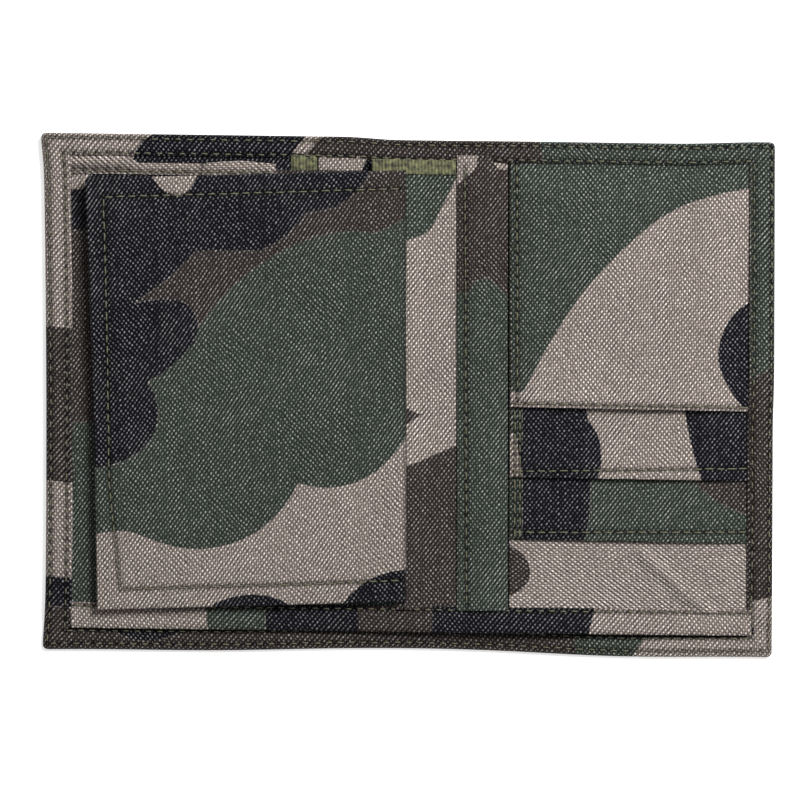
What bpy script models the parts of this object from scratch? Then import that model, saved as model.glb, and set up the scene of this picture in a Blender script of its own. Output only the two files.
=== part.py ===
"""Cloth wallet that folds once down its middle, with a leaf that turns like a page.

The wallet lies open and flat, inside up. X runs across the two halves, Y from the banknote
mouth (-Y) to the sewn edge (+Y), and Z up. The fold runs along the Y axis. Sizes are in
millimetres and become metres in to_metres().
"""

import math

import bmesh
import bpy

MILLIMETRE = 0.001

# Cover: one cloth rectangle, split here at the fold.
COVER_WIDTH = 199.0
COVER_HEIGHT = 141.0
COVER_THICKNESS = 0.7
COVER_CORNER = 2.0

# Turned-in edge of the cover, by side.
BAND_LEFT = 7.3
BAND_RIGHT = 6.0
BAND_TOP = 6.0
BAND_BOTTOM = 5.4

# Plies above the cover: underside heights and thicknesses.
CLOTH = 0.5
GAP = 0.3
BAND_UNDERSIDE = COVER_THICKNESS + GAP
BAND_SIDE_THICKNESS = 1.6
DIVIDER_UNDERSIDE = 1.8
PANEL_UNDERSIDE = DIVIDER_UNDERSIDE + CLOTH + GAP
CARD_SPACE = 0.8
DIVIDER_HEM = 7.0

# Left half: flat pocket under the leaf, with a narrow band along its mouth.
LEFT_POCKET_TOP = 59.3
LEFT_BAND_TOP = 62.0
LEFT_BAND_END = -36.2

# Spine strips between the fold and the card pockets.
FLANGE_RIGHT = 13.7
STRIP_LEFT = 14.0
STRIP_RIGHT = 27.3
TAPE_LEFT = -10.0
TAPE_RIGHT = 11.9
TAPE_LOW = 60.0
TAPE_HIGH = 63.2

# Card pockets: three stepped mouths over one backing.
POCKET_LEFT = 28.0
POCKET_MOUTHS = {"rear": -40.0, "middle": -22.9, "front": -4.0}
MOUTH_SEAM = {"rear": 2.3, "middle": 2.4, "front": 1.1}

# Leaf: its outer edge is sewn a little lower and a little askew.
LEAF_HINGE_X = -0.6
LEAF_TOP_WIDTH = 87.3
LEAF_BOTTOM_WIDTH = 84.0
LEAF_TOP = 61.0
LEAF_BOTTOM = -56.2
LEAF_OUTER_DROP = 2.2
LEAF_UNDERSIDE = 3.8
LEAF_THICKNESS = 2.3
LEAF_BACK = 0.5
LEAF_FACE = 0.6
WINDOW_THICKNESS = 0.2
FRAME_OUTER = 12.0
FRAME_ENDS = 9.0
LEAF_SEAM_INSET = 5.0

# Sewing thread, drawn as one continuous line along each seam.
THREAD_RADIUS = 0.2
OUTER_SEAM = 1.4
INNER_SEAM = 5.3

AXIS_HEIGHT = 7.5
CORNER_STEPS = 6
EDGE_ROUNDING = 0.12

HALF_WIDTH = COVER_WIDTH / 2
HALF_HEIGHT = COVER_HEIGHT / 2
INNER_LEFT = -HALF_WIDTH + BAND_LEFT
INNER_RIGHT = HALF_WIDTH - BAND_RIGHT
INNER_TOP = HALF_HEIGHT - BAND_TOP
DIVIDER_LOW = -HALF_HEIGHT + BAND_BOTTOM + GAP
PANEL_LOW = DIVIDER_LOW + DIVIDER_HEM + GAP
BAND_TOP_FACE = BAND_UNDERSIDE + BAND_SIDE_THICKNESS
PANEL_TOP_FACE = PANEL_UNDERSIDE + CLOTH

TAN = (0.52, 0.42, 0.28)
GREEN = (0.17, 0.21, 0.12)
BROWN = (0.20, 0.12, 0.07)
BLACK = (0.02, 0.02, 0.03)
OLIVE = (0.22, 0.20, 0.10)
CLEAR = (0.80, 0.85, 0.86)


def clear_scene():
    for old in list(bpy.data.objects):
        bpy.data.objects.remove(old, do_unlink=True)


def to_metres(x, y, z):
    return (x * MILLIMETRE, y * MILLIMETRE, z * MILLIMETRE)


def add_axis(name):
    """Empty on a fold axis; what turns about that axis is parented to it."""
    axis = bpy.data.objects.new(name, None)
    axis.location = to_metres(0, 0, AXIS_HEIGHT)
    bpy.context.collection.objects.link(axis)
    return axis


def add_material(name, colour, roughness):
    material = bpy.data.materials.new(name)
    material.use_nodes = True
    shader = material.node_tree.nodes["Principled BSDF"]
    shader.inputs["Base Color"].default_value = (*colour, 1.0)
    shader.inputs["Roughness"].default_value = roughness
    shader.inputs["Metallic"].default_value = 0.0
    return material


def place(name, data, colour, roughness, axis):
    """Link the piece, give it its own material, and hang it on its axis empty."""
    data.materials.append(add_material(name, colour, roughness))
    piece = bpy.data.objects.new(name, data)
    bpy.context.collection.objects.link(piece)
    if axis is not None:
        piece.parent = axis
        piece.location = to_metres(0, 0, -AXIS_HEIGHT)
    return piece


def corner_arc(centre_x, centre_y, radius, start_degrees):
    """Quarter circle, anticlockwise from start_degrees."""
    points = []
    for step in range(CORNER_STEPS + 1):
        angle = math.radians(start_degrees + 90 * step / CORNER_STEPS)
        points.append((centre_x + radius * math.cos(angle), centre_y + radius * math.sin(angle)))
    return points


def rectangle(left, low, right, high):
    return [(left, low), (right, low), (right, high), (left, high)]


def slab(name, outline, underside, thickness, colour, axis=None, roughness=0.85, rounding=EDGE_ROUNDING):
    """Flat cloth piece: an anticlockwise outline raised from its underside."""
    mesh = bpy.data.meshes.new(name)
    shape = bmesh.new()
    corners = [shape.verts.new(to_metres(x, y, underside)) for x, y in outline]
    base = shape.faces.new(corners)
    raised = bmesh.ops.extrude_face_region(shape, geom=[base])
    upper = [item for item in raised["geom"] if isinstance(item, bmesh.types.BMVert)]
    bmesh.ops.translate(shape, verts=upper, vec=to_metres(0, 0, thickness))
    bmesh.ops.recalc_face_normals(shape, faces=shape.faces)
    shape.to_mesh(mesh)
    shape.free()
    piece = place(name, mesh, colour, roughness, axis)
    if rounding:
        bevel = piece.modifiers.new("soft_edge", "BEVEL")
        bevel.width = rounding * MILLIMETRE
        bevel.segments = 2
        bevel.limit_method = "ANGLE"
        bevel.angle_limit = math.radians(50)
    return piece


def thread(name, points, surface, axis=None):
    """Line of sewing thread lying just above a surface."""
    height = surface + GAP + THREAD_RADIUS
    curve = bpy.data.curves.new(name, "CURVE")
    curve.dimensions = "3D"
    line = curve.splines.new("POLY")
    line.points.add(len(points) - 1)
    for point, (x, y) in zip(line.points, points):
        point.co = (*to_metres(x, y, height), 1.0)
    curve.bevel_depth = THREAD_RADIUS * MILLIMETRE
    curve.bevel_resolution = 1
    curve.use_fill_caps = True
    return place(name, curve, OLIVE, 0.7, axis)


def build_cover(side, axis):
    """Half of the outer cover, with its two outer corners rounded."""
    x_corner = HALF_WIDTH - COVER_CORNER
    y_corner = HALF_HEIGHT - COVER_CORNER
    if side == "left":
        outline = [(-GAP, HALF_HEIGHT)]
        outline += corner_arc(-x_corner, y_corner, COVER_CORNER, 90)
        outline += corner_arc(-x_corner, -y_corner, COVER_CORNER, 180)
        outline.append((-GAP, -HALF_HEIGHT))
    else:
        outline = [(GAP, -HALF_HEIGHT)]
        outline += corner_arc(x_corner, -y_corner, COVER_CORNER, 270)
        outline += corner_arc(x_corner, y_corner, COVER_CORNER, 0)
        outline.append((GAP, HALF_HEIGHT))
    slab("cover_" + side, outline, 0, COVER_THICKNESS, TAN, axis)


def build_binding(side, axis):
    """Turned-in edge of the cover: a strip up the side, one along the top, a flat one at the mouth."""
    edge = HALF_WIDTH - GAP
    end = HALF_HEIGHT - GAP
    if side == "left":
        upright = rectangle(-edge, -end + COVER_CORNER, INNER_LEFT, end - COVER_CORNER)
        across = (INNER_LEFT + GAP, -GAP)
    else:
        upright = rectangle(INNER_RIGHT, -end + COVER_CORNER, edge, end - COVER_CORNER)
        across = (GAP, INNER_RIGHT - GAP)
    top = rectangle(across[0], INNER_TOP, across[1], end)
    mouth = rectangle(across[0], -end, across[1], -HALF_HEIGHT + BAND_BOTTOM)
    slab("binding_" + side + "_side", upright, BAND_UNDERSIDE, BAND_SIDE_THICKNESS, BROWN, axis)
    slab("binding_" + side + "_top", top, BAND_UNDERSIDE, BAND_SIDE_THICKNESS, GREEN, axis)
    slab("binding_" + side + "_mouth", mouth, BAND_UNDERSIDE, CLOTH, BROWN, axis)


def build_divider(side, axis):
    """Wall of the banknote compartment, with a folded hem along its free edge."""
    if side == "left":
        left, right = INNER_LEFT + GAP, -GAP
    else:
        left, right = GAP, INNER_RIGHT - GAP
    wall = rectangle(left, DIVIDER_LOW, right, INNER_TOP - GAP)
    hem = rectangle(left, DIVIDER_LOW, right, DIVIDER_LOW + DIVIDER_HEM)
    slab("divider_" + side, wall, DIVIDER_UNDERSIDE, CLOTH, TAN, axis)
    slab("divider_hem_" + side, hem, PANEL_UNDERSIDE, CLOTH, BLACK, axis)


def build_left_pocket():
    """Flat pocket under the leaf and the band sewn along its mouth."""
    left = INNER_LEFT + GAP
    body = rectangle(left, PANEL_LOW, -GAP, LEFT_POCKET_TOP)
    band = rectangle(left, LEFT_POCKET_TOP + GAP, LEFT_BAND_END, LEFT_BAND_TOP)
    slab("left_pocket", body, PANEL_UNDERSIDE, CLOTH, GREEN)
    slab("left_pocket_band", band, PANEL_UNDERSIDE, CLOTH, TAN)


def build_spine(axis):
    """Flange that carries the leaf, the strip beside it, and the tape over their top ends."""
    flange = rectangle(GAP, PANEL_LOW, FLANGE_RIGHT, TAPE_LOW - GAP)
    strip = rectangle(STRIP_LEFT, PANEL_LOW, STRIP_RIGHT, INNER_TOP - GAP)
    slab("leaf_flange", flange, PANEL_UNDERSIDE, CLOTH, TAN, axis)
    slab("spine_strip", strip, PANEL_UNDERSIDE, CLOTH, GREEN, axis)
    tape_left = rectangle(TAPE_LEFT, TAPE_LOW, -GAP, TAPE_HIGH)
    tape_right = rectangle(GAP, TAPE_LOW, TAPE_RIGHT, TAPE_HIGH)
    slab("spine_tape_left", tape_left, PANEL_UNDERSIDE, CLOTH, OLIVE)
    slab("spine_tape_right", tape_right, PANEL_UNDERSIDE, CLOTH, OLIVE, axis)


def build_card_pockets(axis):
    """Backing panel and three pocket fronts, each a card's thickness above the last.

    Returns the upper face of each pocket front by name.
    """
    right = INNER_RIGHT - GAP
    high = INNER_TOP - GAP
    backing = rectangle(POCKET_LEFT, PANEL_LOW, right, high)
    slab("card_backing", backing, PANEL_UNDERSIDE, CLOTH, TAN, axis)
    colours = {"rear": BROWN, "middle": TAN, "front": GREEN}
    upper_faces = {}
    underside = PANEL_TOP_FACE + CARD_SPACE
    for place_name, mouth in POCKET_MOUTHS.items():
        front = rectangle(POCKET_LEFT, mouth, right, high)
        slab("card_pocket_" + place_name, front, underside, CLOTH, colours[place_name], axis)
        upper_faces[place_name] = underside + CLOTH
        underside += CLOTH + CARD_SPACE
    return upper_faces


def leaf_point(across, up):
    """Point on the leaf: across runs from its hinge (0) to its outer edge (1), up from low to high."""
    width = LEAF_BOTTOM_WIDTH + (LEAF_TOP_WIDTH - LEAF_BOTTOM_WIDTH) * up
    x = LEAF_HINGE_X - width * across
    y = LEAF_BOTTOM + (LEAF_TOP - LEAF_BOTTOM) * up - LEAF_OUTER_DROP * across
    return (x, y)


def leaf_quad(across_low, up_low, across_high, up_high):
    return [
        leaf_point(across_high, up_low),
        leaf_point(across_low, up_low),
        leaf_point(across_low, up_high),
        leaf_point(across_high, up_high),
    ]


def build_leaf(axis):
    """Leaf: a cloth face, a clear window under it, and a frame of four strips under the window."""
    height = LEAF_TOP - LEAF_BOTTOM
    rim_across = FRAME_OUTER / LEAF_TOP_WIDTH
    rim_up = FRAME_ENDS / height
    clear_across = GAP / LEAF_TOP_WIDTH
    clear_up = GAP / height
    face_underside = LEAF_UNDERSIDE + LEAF_THICKNESS - LEAF_FACE
    slab("leaf_face", leaf_quad(0, 0, 1, 1), face_underside, LEAF_FACE, GREEN, axis)
    strips = {
        "leaf_frame_low": leaf_quad(0, 0, 1, rim_up),
        "leaf_frame_high": leaf_quad(0, 1 - rim_up, 1, 1),
        "leaf_frame_hinge": leaf_quad(0, rim_up + clear_up, rim_across, 1 - rim_up - clear_up),
        "leaf_frame_outer": leaf_quad(1 - rim_across, rim_up + clear_up, 1, 1 - rim_up - clear_up),
    }
    for name, outline in strips.items():
        slab(name, outline, LEAF_UNDERSIDE, LEAF_BACK, BROWN, axis)
    inset = rim_across / 2 + clear_across
    window = leaf_quad(inset, rim_up / 2, 1 - inset, 1 - rim_up / 2)
    window_underside = LEAF_UNDERSIDE + LEAF_BACK + GAP
    slab("leaf_window", window, window_underside, WINDOW_THICKNESS, CLEAR, axis, roughness=0.15, rounding=0)


def build_edge_seams(side, axis):
    """Two seams round the cover's edge, one along the mouth, one along the divider's hem."""
    sign = -1 if side == "left" else 1
    outer_x = sign * (HALF_WIDTH - OUTER_SEAM)
    inner_x = sign * (HALF_WIDTH - INNER_SEAM)
    outer_y = HALF_HEIGHT - OUTER_SEAM
    inner_y = HALF_HEIGHT - INNER_SEAM
    start = -HALF_HEIGHT + BAND_BOTTOM
    name = "stitching_" + side
    outer = [(outer_x, start), (outer_x, outer_y), (sign * GAP, outer_y)]
    inner = [(inner_x, start), (inner_x, inner_y), (sign * GAP, inner_y)]
    thread(name + "_outer", outer, BAND_TOP_FACE, axis)
    thread(name + "_inner", inner, BAND_TOP_FACE, axis)
    end_x = INNER_LEFT + 1 if side == "left" else INNER_RIGHT - 1
    mouth_y = -HALF_HEIGHT + OUTER_SEAM
    thread(name + "_mouth", [(end_x, mouth_y), (sign * GAP, mouth_y)], BAND_UNDERSIDE + CLOTH, axis)
    hem_y = DIVIDER_LOW + DIVIDER_HEM - 1.0
    thread(name + "_hem", [(end_x, hem_y), (sign * GAP, hem_y)], PANEL_TOP_FACE, axis)


def build_pocket_seams(upper_faces, axis):
    """One seam behind each pocket mouth, and short seams down the stepped left edges."""
    right = INNER_RIGHT - GAP - 0.6
    for place_name, mouth in POCKET_MOUTHS.items():
        seam_y = mouth + MOUTH_SEAM[place_name]
        name = "stitching_pocket_" + place_name
        seam_left = POCKET_LEFT + 3.0
        thread(name, [(seam_left, seam_y), (right, seam_y)], upper_faces[place_name], axis)
    side_x = POCKET_LEFT + 1.5
    middle = [(side_x, POCKET_MOUTHS["middle"] + 1), (side_x, POCKET_MOUTHS["front"] - 1)]
    rear = [(side_x, POCKET_MOUTHS["rear"] + 1), (side_x, POCKET_MOUTHS["middle"] - 1)]
    thread("stitching_side_middle", middle, upper_faces["middle"], axis)
    thread("stitching_side_rear", rear, upper_faces["rear"], axis)
    spine_x = STRIP_LEFT + 2.1
    spine = [(spine_x, PANEL_LOW + 1), (spine_x, TAPE_LOW)]
    thread("stitching_spine", spine, PANEL_TOP_FACE, axis)


def build_leaf_seam(axis):
    """Seam round three sides of the leaf; the hinge side is a plain fold."""
    inset_across = LEAF_SEAM_INSET / LEAF_TOP_WIDTH
    inset_up = LEAF_SEAM_INSET / (LEAF_TOP - LEAF_BOTTOM)
    points = [
        leaf_point(0.01, inset_up),
        leaf_point(1 - inset_across, inset_up),
        leaf_point(1 - inset_across, 1 - inset_up),
        leaf_point(0.01, 1 - inset_up),
    ]
    thread("stitching_leaf", points, LEAF_UNDERSIDE + LEAF_THICKNESS, axis)


def build_wallet():
    clear_scene()
    cover_fold = add_axis("cover_fold_axis")
    leaf_turn = add_axis("leaf_turn_axis")
    for side, axis in (("left", None), ("right", cover_fold)):
        build_cover(side, axis)
        build_binding(side, axis)
        build_divider(side, axis)
        build_edge_seams(side, axis)
    build_left_pocket()
    band_y = (LEFT_POCKET_TOP + GAP + LEFT_BAND_TOP) / 2
    thread(
        "stitching_left_band",
        [(INNER_LEFT + 1, band_y), (LEFT_BAND_END - 0.6, band_y)],
        PANEL_TOP_FACE,
    )
    build_spine(cover_fold)
    upper_faces = build_card_pockets(cover_fold)
    build_pocket_seams(upper_faces, cover_fold)
    build_leaf(leaf_turn)
    build_leaf_seam(leaf_turn)


build_wallet()
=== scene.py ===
"""Camouflage cloth wallet, lying open: the looks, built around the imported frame.

Lengths here are in millimetres, along the frame's own axes, and become metres in add_mesh().
A piece is first shaped square, as it was cut, and then moved by its lie to how it rests.
"""

import math

import bpy
import numpy as np
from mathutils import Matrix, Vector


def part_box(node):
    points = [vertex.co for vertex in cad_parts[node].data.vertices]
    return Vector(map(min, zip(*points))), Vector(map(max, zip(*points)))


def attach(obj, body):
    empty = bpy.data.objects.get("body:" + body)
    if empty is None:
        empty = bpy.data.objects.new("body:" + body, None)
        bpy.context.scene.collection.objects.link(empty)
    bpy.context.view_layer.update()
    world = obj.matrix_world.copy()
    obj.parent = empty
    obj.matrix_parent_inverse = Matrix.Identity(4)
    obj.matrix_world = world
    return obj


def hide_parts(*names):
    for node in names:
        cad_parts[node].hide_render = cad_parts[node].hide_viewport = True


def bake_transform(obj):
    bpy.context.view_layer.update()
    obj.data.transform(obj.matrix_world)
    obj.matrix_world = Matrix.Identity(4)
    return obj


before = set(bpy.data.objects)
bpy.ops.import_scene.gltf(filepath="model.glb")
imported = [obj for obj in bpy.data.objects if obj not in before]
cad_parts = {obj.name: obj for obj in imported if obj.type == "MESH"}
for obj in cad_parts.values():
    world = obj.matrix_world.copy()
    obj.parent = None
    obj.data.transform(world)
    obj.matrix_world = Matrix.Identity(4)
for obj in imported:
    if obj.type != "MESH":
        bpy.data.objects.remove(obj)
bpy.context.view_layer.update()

MM = 0.001

# Cloth: plain weave of flat yarns, and how finely its surface is divided.
WARP_PITCH = 0.648
WEFT_PITCH = 0.79
CLOTH_THICKNESS = 0.40
STEP = 0.9
COARSE_STEP = 1.3

# How far each panel's yarns are out of square: weft rise and warp lean, as slopes.
LEAF_SKEW = (0.183, 0.043)
PANEL_SKEW = (0.090, 0.012)
BAND_SKEW = (-0.10, 0.02)

# Sewing: length from hole to hole, thread seen between two holes and its radius, and how deep and
# how far to each side the stitches pull a groove into the cloth.
STITCH_PITCH = 3.1
LONG_STITCH = 3.0
SHORT_STITCH = 2.1
THREAD_RADIUS = 0.18
SEAM_DEPTH = 0.28
SEAM_REACH = 0.75

# How far the panels run in under the turned-in edge.
TUCK = 1.2

# Fold of the cover: how far it reaches to each side of the middle, and the height of its axis.
FOLD_REACH = 5.0
FOLD_AXIS_HEIGHT = 7.5

# Linear colours of the print, of the painted highlight on a bare yarn, of the thread and of the tape.
TAN = (0.222, 0.187, 0.167)
GREEN = (0.035, 0.043, 0.034)
BROWN = (0.032, 0.025, 0.022)
BLACK = (0.004, 0.004, 0.007)
YARN_GLINT = (0.134, 0.134, 0.137)
THREAD_COLOUR = (0.120, 0.116, 0.066)
TAPE_DARK = (0.022, 0.024, 0.012)
TAPE_LIGHT = (0.20, 0.20, 0.09)

TAPE_THICKNESS = 0.5
TAPE_RIB_PITCH = 0.9


def node_box(name):
    """Lowest and highest corners of a CAD node, in millimetres."""
    low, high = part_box(name)
    return np.array(low) / MM, np.array(high) / MM


# -------- places read from the frame

HALF_WIDTH, HALF_HEIGHT, _ = node_box("cover_right")[1]
INNER_LEFT = node_box("binding_left_side")[1][0]
INNER_RIGHT = node_box("binding_right_side")[0][0]
INNER_TOP = node_box("binding_left_top")[0][1]
INNER_MOUTH = node_box("binding_left_mouth")[1][1]
DIVIDER_LOW = node_box("divider_left")[0][1]
HEM_HIGH = node_box("divider_hem_left")[1][1]
BAND_LOW, BAND_HIGH = node_box("left_pocket_band")
TAPE_LEFT = node_box("spine_tape_left")[0]
TAPE_RIGHT = node_box("spine_tape_right")[1]
STRIP_LOW, STRIP_HIGH = node_box("spine_strip")
POCKET_LEFT = node_box("card_backing")[0][0]
POCKET_ORDER = ("rear", "middle", "front")
MOUTHS = {name: node_box("card_pocket_" + name)[0][1] for name in POCKET_ORDER}
LEAF_LOW, LEAF_HIGH = node_box("leaf_face")
LEAF_UNDER = node_box("leaf_frame_low")[0][2]

# The leaf's outer edge hangs lower than its hinge edge and leans inward towards the mouth.
LEAF_DROP = 2.2
LEAF_LEAN = 3.3

# Radius of the cover's corners, and where the panels end below, under the divider's hem.
CORNER_RADIUS = 1.5
PANEL_LOW = HEM_HIGH - 1.0


# -------- small helpers

def smooth(t):
    t = np.clip(t, 0.0, 1.0)
    return t * t * (3 - 2 * t)


def near(value, middle, reach):
    """One at the middle, falling smoothly to nothing about a reach away."""
    return np.exp(-(((value - middle) / reach) ** 2))


def waves(x, y, seed, height, length):
    """Gentle unevenness: a few long waves in directions fixed by the seed."""
    random = np.random.default_rng(seed)
    total = np.zeros_like(x, dtype=float)
    for _ in range(5):
        angle = random.uniform(0, 2 * math.pi)
        scale = 2 * math.pi / (length * random.uniform(0.6, 1.6))
        phase = random.uniform(0, 2 * math.pi)
        total += np.sin((x * math.cos(angle) + y * math.sin(angle)) * scale + phase)
    return total * height / 5


def along_line(x, y, points):
    """Distance to a line of straight runs, and how far along it the nearest point is."""
    best = np.full(np.shape(x), np.inf)
    place = np.zeros(np.shape(x))
    start = 0.0
    for (ax, ay), (bx, by) in zip(points[:-1], points[1:]):
        length = math.hypot(bx - ax, by - ay)
        t = np.clip(((x - ax) * (bx - ax) + (y - ay) * (by - ay)) / length**2, 0, 1)
        gap = np.hypot(x - ax - t * (bx - ax), y - ay - t * (by - ay))
        closer = gap < best
        best = np.where(closer, gap, best)
        place = np.where(closer, start + t * length, place)
        start += length
    return best, place


def seam_dip(x, y, points, depth=SEAM_DEPTH, reach=SEAM_REACH):
    """Groove that a row of stitches pulls into the cloth, deepest at each hole."""
    gap, place = along_line(x, y, points)
    pull = 0.75 + 0.25 * np.cos(2 * math.pi * place / STITCH_PITCH)
    return -depth * pull * np.exp(-((gap / reach) ** 2))


def seam_shade(x, y, points):
    """Painted shade in the groove of a row of stitches, from 0 to 1, most at each hole."""
    gap, place = along_line(x, y, points)
    hole = (0.5 + 0.5 * np.cos(2 * math.pi * place / STITCH_PITCH)) ** 2
    return (0.65 + 0.35 * hole) * np.exp(-((gap / 0.62) ** 2))


def arc_loop(points, steps=10):
    """Closed outline from points (x, y) or (x, y, bulge). With a bulge, the edge to the next point is
    a circular arc whose height is bulge times half the edge, to the right of the way of travel."""
    outline = []
    for (ax, ay, *bulges), (bx, by, *_) in zip(points, points[1:] + points[:1]):
        if not bulges:
            outline.append((ax, ay))
            continue
        bulge = bulges[0]
        mid_x, mid_y = (ax + bx) / 2, (ay + by) / 2
        half_x, half_y = (bx - ax) / 2, (by - ay) / 2
        radius_back = (1 - bulge * bulge) / (2 * bulge)
        centre = (mid_x - half_y * radius_back, mid_y + half_x * radius_back)
        first = math.atan2(ay - centre[1], ax - centre[0])
        sweep = 4 * math.atan(bulge)
        radius = math.hypot(ax - centre[0], ay - centre[1])
        for step in range(steps):
            angle = first + sweep * step / steps
            outline.append((centre[0] + radius * math.cos(angle), centre[1] + radius * math.sin(angle)))
    return np.array(outline)


def inside_distance(x, y, outline):
    """Distance to a closed outline, positive inside it."""
    best = np.full(np.shape(x), np.inf)
    inside = np.zeros(np.shape(x), bool)
    for (ax, ay), (bx, by) in zip(outline, np.roll(outline, -1, axis=0)):
        length = (bx - ax) ** 2 + (by - ay) ** 2
        if length < 1e-12:
            continue
        t = np.clip(((x - ax) * (bx - ax) + (y - ay) * (by - ay)) / length, 0, 1)
        best = np.minimum(best, np.hypot(x - ax - t * (bx - ax), y - ay - t * (by - ay)))
        if ay != by:
            crosses = ((ay > y) != (by > y)) & (x < (bx - ax) * (y - ay) / (by - ay) + ax)
            inside ^= crosses
    return np.where(inside, best, -best)


# -------- how the cut pieces lie

def lie_as_cover(x, y):
    """The cover is a little out of square. Its mouth edge bows inward, most at the fold, its left
    corners flare, and its top edge sinks right of the fold."""
    up = (y + HALF_HEIGHT) / (2 * HALF_HEIGHT)
    across = x / HALF_WIDTH
    at_mouth = 0.2 - 1.0 * across + 1.3 * (1 - across**2) - 0.8 * near(x, -52, 30) - 1.25 * near(x, 58, 32)
    at_top = -0.35 - 1.35 * across - 0.7 * smooth((x + 18) / 16) * smooth((98 - x) / 26)
    waist = 0.6 * (1 - (y / HALF_HEIGHT) ** 2) * np.where(x < 0, -across, 0)
    flare = 0.65 * smooth(-across) * (near(y, HALF_HEIGHT, 7) + near(y, -HALF_HEIGHT, 9))
    spread = 0.35 * smooth(across) * smooth((y + 10) / 20)
    moved = x + waist - flare + spread - 0.4 * across * (1 - up)
    return moved, y + (1 - up) * at_mouth + up * at_top


def lie_as_panel(x, y):
    """The inner panels share the cover's slant but not the bow of its mouth."""
    up = (y + HALF_HEIGHT) / (2 * HALF_HEIGHT)
    across = x / HALF_WIDTH
    at_mouth = 0.4 - 1.2 * across
    at_top = -0.35 - 1.35 * across
    return x - 0.4 * across * (1 - up), y + (1 - up) * at_mouth + up * at_top


def lie_as_band(x, y):
    """The edge of the left pocket stands up a little between its notch and its end."""
    moved, level = lie_as_panel(x, y)
    rise = 0.9 * near(x, -46, 8) * smooth((y - BAND_LOW[1] - 0.6) / 1.8)
    tucked = 2.4 * band_tuck(x) * smooth((y - BAND_LOW[1]) / 2.4)
    return moved, level + rise + tucked


def band_tuck(x):
    """The left pocket's edge runs in under the turned-in edge at its left end."""
    return smooth((-73 - x) / 5)


def lie_as_leaf(x, y):
    """The leaf's outer edge is slightly hollow."""
    across = (LEAF_HIGH[0] - x) / (LEAF_HIGH[0] - LEAF_LOW[0])
    up = np.clip((y - LEAF_LOW[1]) / (LEAF_HIGH[1] - LEAF_LOW[1]), 0, 1)
    return x + 0.55 * np.clip(across, 0, 1) * np.sin(math.pi * up), y


# -------- heights of the layers

COVER_THICKNESS = 0.6
# Top of the divider where it is sewn down, and how much higher it lies where it is free.
DIVIDER_LEVEL = 1.45
DIVIDER_LOOSE = 0.55
# What lies on the divider: the panel behind the card pockets, and a hem or fold of two plies.
BACKING_PLY = 0.44
DOUBLE_PLY = 0.95
# Each pocket lies this far above the one behind where they are sewn, and further where it is free.
SEWN_PLY = 0.42
FREE_PLY = 0.40
# Top of the turned-in edge on the left, how much higher it is along its far left side, and its top
# on the right below the pockets.
EDGE_LEFT = 2.1
EDGE_LEFT_RISE = 0.4
EDGE_RIGHT = 2.47


def free_of_seams(x, y, left, right):
    """Zero at the side and top seams, one where the layers lie free of each other."""
    gap = np.minimum(np.minimum(x - left, right - x), INNER_TOP - y)
    return smooth(gap / 11.0)


def cover_height(x, y):
    """The stitches lift the cover's underside a little, off the surface that it lies on."""
    rows = seam_dip(x, y, OUTER_SEAM, 0.25) + seam_dip(x, y, INNER_SEAM, 0.25)
    return COVER_THICKNESS + 0.02 - rows


def divider_height(x, y):
    free = free_of_seams(x, y, INNER_LEFT, INNER_RIGHT)
    lift = 1.5 * near(x, 24, 32) * smooth((-y - 44) / 20)
    return DIVIDER_LEVEL + DIVIDER_LOOSE * free + lift + waves(x, y, 3, 0.10, 38)


def hem_height(x, y):
    """The hem lies over the lower ends of the panels and rolls under at the free edge."""
    past = np.clip((DIVIDER_LOW + 0.7 - y) / 0.8, 0, 1)
    return divider_height(x, y) + DOUBLE_PLY - 0.35 * past**2 + seam_dip(x, y, HEM_SEAM, depth=0.2)


def left_pocket_height(x, y):
    free = free_of_seams(x, y, INNER_LEFT, 60)
    return divider_height(x, y) + 0.45 + 0.25 * free + waves(x, y, 5, 0.10, 30) * free


def left_band_height(x, y):
    dips = seam_dip(x, y, BAND_SEAM, depth=0.15) + seam_dip(x, y, BAND_NOTCH, depth=0.35, reach=0.5)
    under = 0.9 * band_tuck(x) * smooth((y - BAND_HIGH[1] + 0.9) / 1.1)
    return divider_height(x, y) + DOUBLE_PLY + dips - under


def flange_height(x, y):
    """The flange rises towards the fold, where the leaf's rolled edge lies on it."""
    rise = 1.0 * smooth((5.5 - x) / 7.0)
    return divider_height(x, y) + 0.5 + rise + waves(x, y, 8, 0.06, 25)


def strip_height(x, y):
    """The strip is puffed up between its two long edges."""
    across = np.clip((x - STRIP_LOW[0]) / (STRIP_HIGH[0] - STRIP_LOW[0]), 0, 1)
    puff = 0.75 * np.sin(math.pi * across) ** 0.7
    dip = seam_dip(x, y, SPINE_SEAM, depth=0.2)
    return divider_height(x, y) + 1.0 + puff + dip + waves(x, y, 9, 0.06, 25)


def pocket_free(x, y):
    return free_of_seams(x, y, POCKET_LEFT - 4, INNER_RIGHT)


def backing_height(x, y):
    """A soft crease runs slanting down to the right across what shows of this panel."""
    crease = 0.9 * near(x + 1.13 * y, 15.5, 2.6) * smooth((x - 58) / 6) * smooth((MOUTHS["rear"] - y) / 3)
    return divider_height(x, y) + BACKING_PLY + (0.1 + crease) * pocket_free(x, y)


def pocket_height(level):
    """Upper face of a pocket front, a ply and a card's looseness above the one behind it."""
    mouth = MOUTHS[level]
    seam = POCKET_SEAMS[level]
    order = POCKET_ORDER.index(level) + 1
    seed = 39 + order

    def height(x, y):
        free = pocket_free(x, y)
        gape = 0.35 * near(y, mouth, 7) * near(x, (POCKET_LEFT + INNER_RIGHT) / 2, 26)
        base = divider_height(x, y) + BACKING_PLY + order * (SEWN_PLY + FREE_PLY * free)
        return base + gape * order + seam_dip(x, y, seam, depth=0.2) + waves(x, y, seed, 0.08, 34) * free

    return height


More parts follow.
